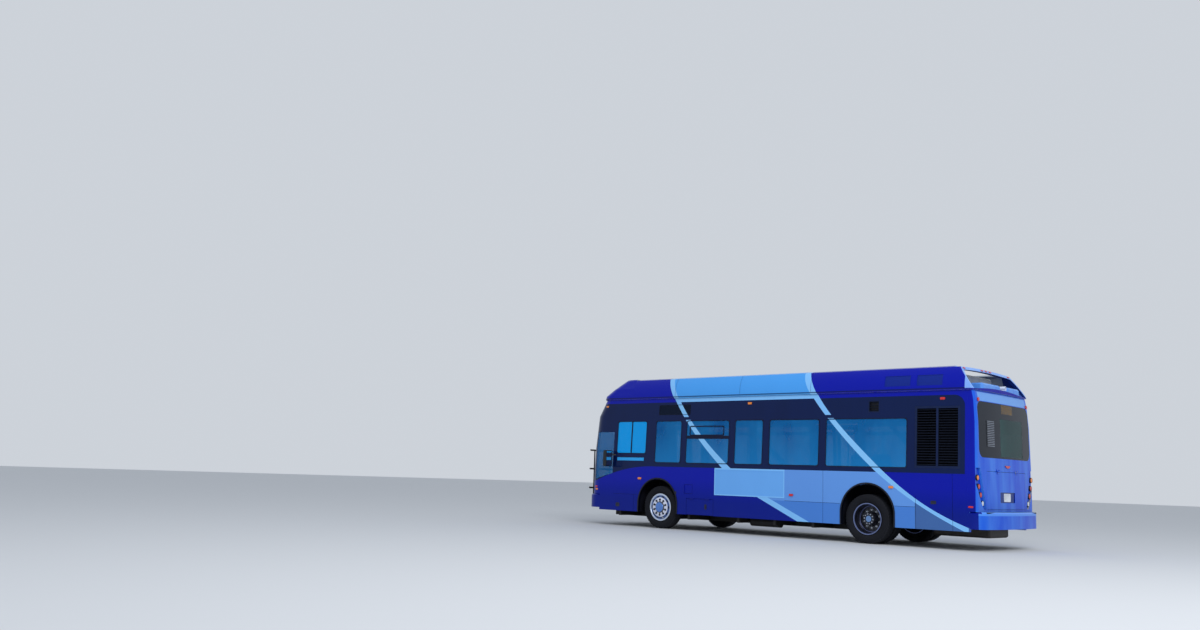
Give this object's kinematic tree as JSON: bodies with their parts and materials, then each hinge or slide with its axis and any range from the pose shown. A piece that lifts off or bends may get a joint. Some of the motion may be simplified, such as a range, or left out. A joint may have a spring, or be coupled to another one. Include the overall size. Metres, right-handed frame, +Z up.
{
  "type": "city bus",
  "caption": "Low-floor city bus with two double doors on the right, roof fairings, twin rear wheels, steered front wheels and a folding bicycle rack.",
  "frame": {"origin": "on the road, below the middle of the bus's overall box", "axes": "+X forward, +Y to the driver's (left) side, +Z up"},
  "size_m": [10.0598, 3.1, 3.35],
  "materials": {
    "body_paint": "two-stage blue coach paint",
    "roof_paint": "painted plastic composite",
    "floor_cover": "ribbed floor covering over plywood",
    "frame_paint": "black chassis paint",
    "glass_side": "tinted safety glass",
    "glass_screen": "laminated glass",
    "tyre": "black tyre rubber",
    "wheel_alloy": "polished alloy",
    "rubber_trim": "black rubber",
    "black_plastic": "grained black plastic",
    "axle_iron": "painted casting",
    "engine_iron": "painted casting",
    "seat_fabric": "woven moquette on moulded seats",
    "rail_steel": "satin stainless tube",
    "grey_panel": "grey interior panel",
    "roof_unit": "grey painted housings",
    "lamp_clear": "clear lens",
    "lamp_red": "red lens",
    "lamp_amber": "amber lens"
  },
  "bodies": {
    "body": {"side_left": "body_paint", "side_right": "body_paint", "front_mask": "body_paint", "rear_cap": "body_paint", "bumper_front": "body_paint", "bumper_rear": "body_paint", "side_fairings": "roof_paint", "fairing_front": "roof_paint", "rear_hoop": "roof_paint", "roof": "roof_paint", "roof_units": "roof_unit", "side_glass": "glass_side", "rear_glass": "glass_side", "windscreen": "glass_screen", "arch_lips": "rubber_trim", "wheel_boxes": "black_plastic", "floor": "floor_cover", "rear_deck": "floor_cover", "underframe": "frame_paint", "air_springs": "rubber_trim", "engine": "engine_iron", "front_axle": "axle_iron", "rear_axle": "axle_iron", "side_louvre": "black_plastic", "radiator_housing": "grey_panel", "seats": "seat_fabric", "dashboard": "black_plastic", "hand_rails": "rail_steel", "driver_screen": "grey_panel", "mirrors": "black_plastic", "wipers": "black_plastic", "headlamps": "lamp_clear", "tail_lamps": "lamp_red", "marker_lamps": "lamp_amber", "window_seals": "rubber_trim", "small_vents": "black_plastic"},
    "knuckle_l": {"knuckle_left": "axle_iron"},
    "knuckle_r": {"knuckle_right": "axle_iron"},
    "wheel_fl": {"tyre_front_left": "tyre", "rim_front_left": "wheel_alloy"},
    "wheel_fr": {"tyre_front_right": "tyre", "rim_front_right": "wheel_alloy"},
    "wheel_rl": {"tyres_rear_left": "tyre", "rims_rear_left": "wheel_alloy"},
    "wheel_rr": {"tyres_rear_right": "tyre", "rims_rear_right": "wheel_alloy"},
    "leaf_front_fore": {"door_front_fore": "black_plastic", "pane_front_fore": "glass_side"},
    "leaf_front_aft": {"door_front_aft": "black_plastic", "pane_front_aft": "glass_side"},
    "leaf_rear_fore": {"door_rear_fore": "black_plastic", "pane_rear_fore": "glass_side"},
    "leaf_rear_aft": {"door_rear_aft": "black_plastic", "pane_rear_aft": "glass_side"},
    "engine_lid": {"engine_door": "body_paint"},
    "battery_lid": {"flap_battery": "body_paint"},
    "fuel_lid": {"flap_fuel": "body_paint"},
    "hatch_lid_front": {"hatch_front": "roof_unit"},
    "hatch_lid_rear": {"hatch_rear": "roof_unit"},
    "rack": {"bike_rack": "frame_paint"}
  },
  "joints": [
    {"name": "steer_left", "type": "hinge", "parent": "body", "child": "knuckle_l", "pos_m": [2.48, 0.94, 0.466], "axis": [0, 0, 1], "range_deg": [-40, 40]},
    {"name": "steer_right", "type": "hinge", "parent": "body", "child": "knuckle_r", "pos_m": [2.48, -0.94, 0.466], "axis": [0, 0, 1], "range_deg": [-40, 40]},
    {"name": "roll_front_left", "type": "hinge", "parent": "knuckle_l", "child": "wheel_fl", "pos_m": [2.48, 1.1, 0.466], "axis": [0, 1, 0], "continuous": true},
    {"name": "roll_front_right", "type": "hinge", "parent": "knuckle_r", "child": "wheel_fr", "pos_m": [2.48, -1.1, 0.466], "axis": [0, 1, 0], "continuous": true},
    {"name": "roll_rear_left", "type": "hinge", "parent": "body", "child": "wheel_rl", "pos_m": [-2.63, 1, 0.466], "axis": [0, 1, 0], "continuous": true},
    {"name": "roll_rear_right", "type": "hinge", "parent": "body", "child": "wheel_rr", "pos_m": [-2.63, -1, 0.466], "axis": [0, 1, 0], "continuous": true},
    {"name": "front_door_fore", "type": "hinge", "parent": "body", "child": "leaf_front_fore", "pos_m": [4.107, -1.2845, 1], "axis": [0, 0, 1], "range_deg": [0, 88]},
    {"name": "front_door_aft", "type": "hinge", "parent": "body", "child": "leaf_front_aft", "pos_m": [3.173, -1.2845, 1], "axis": [0, 0, -1], "range_deg": [0, 88]},
    {"name": "rear_door_fore", "type": "hinge", "parent": "body", "child": "leaf_rear_fore", "pos_m": [-0.003, -1.2845, 1], "axis": [0, 0, 1], "range_deg": [0, 88]},
    {"name": "rear_door_aft", "type": "hinge", "parent": "body", "child": "leaf_rear_aft", "pos_m": [-1.057, -1.2845, 1], "axis": [0, 0, -1], "range_deg": [0, 88]},
    {"name": "engine_door_lift", "type": "hinge", "parent": "body", "child": "engine_lid", "pos_m": [-4.8645, 0, 1.422], "axis": [0, 1, 0], "range_deg": [0, 80]},
    {"name": "battery_flap_lift", "type": "hinge", "parent": "body", "child": "battery_lid", "pos_m": [1.345, 1.2845, 0.687], "axis": [1, 0, 0], "range_deg": [0, 85]},
    {"name": "fuel_flap_swing", "type": "hinge", "parent": "body", "child": "fuel_lid", "pos_m": [1.767, 1.2845, 0.8845], "axis": [0, 0, -1], "range_deg": [0, 100]},
    {"name": "front_hatch_lift", "type": "hinge", "parent": "body", "child": "hatch_lid_front", "pos_m": [2.272, 0, 2.9838], "axis": [0, 1, 0], "range_deg": [0, 60]},
    {"name": "rear_hatch_lift", "type": "hinge", "parent": "body", "child": "hatch_lid_rear", "pos_m": [-0.638, 0, 2.9838], "axis": [0, 1, 0], "range_deg": [0, 60]},
    {"name": "rack_fold", "type": "hinge", "parent": "body", "child": "rack", "pos_m": [4.89, 0, 0.6], "axis": [0, 1, 0], "range_deg": [0, 90]}
  ],
  "couplings": [
    {"joint": "steer_right", "follows": "steer_left", "ratio": 1}
  ]
}
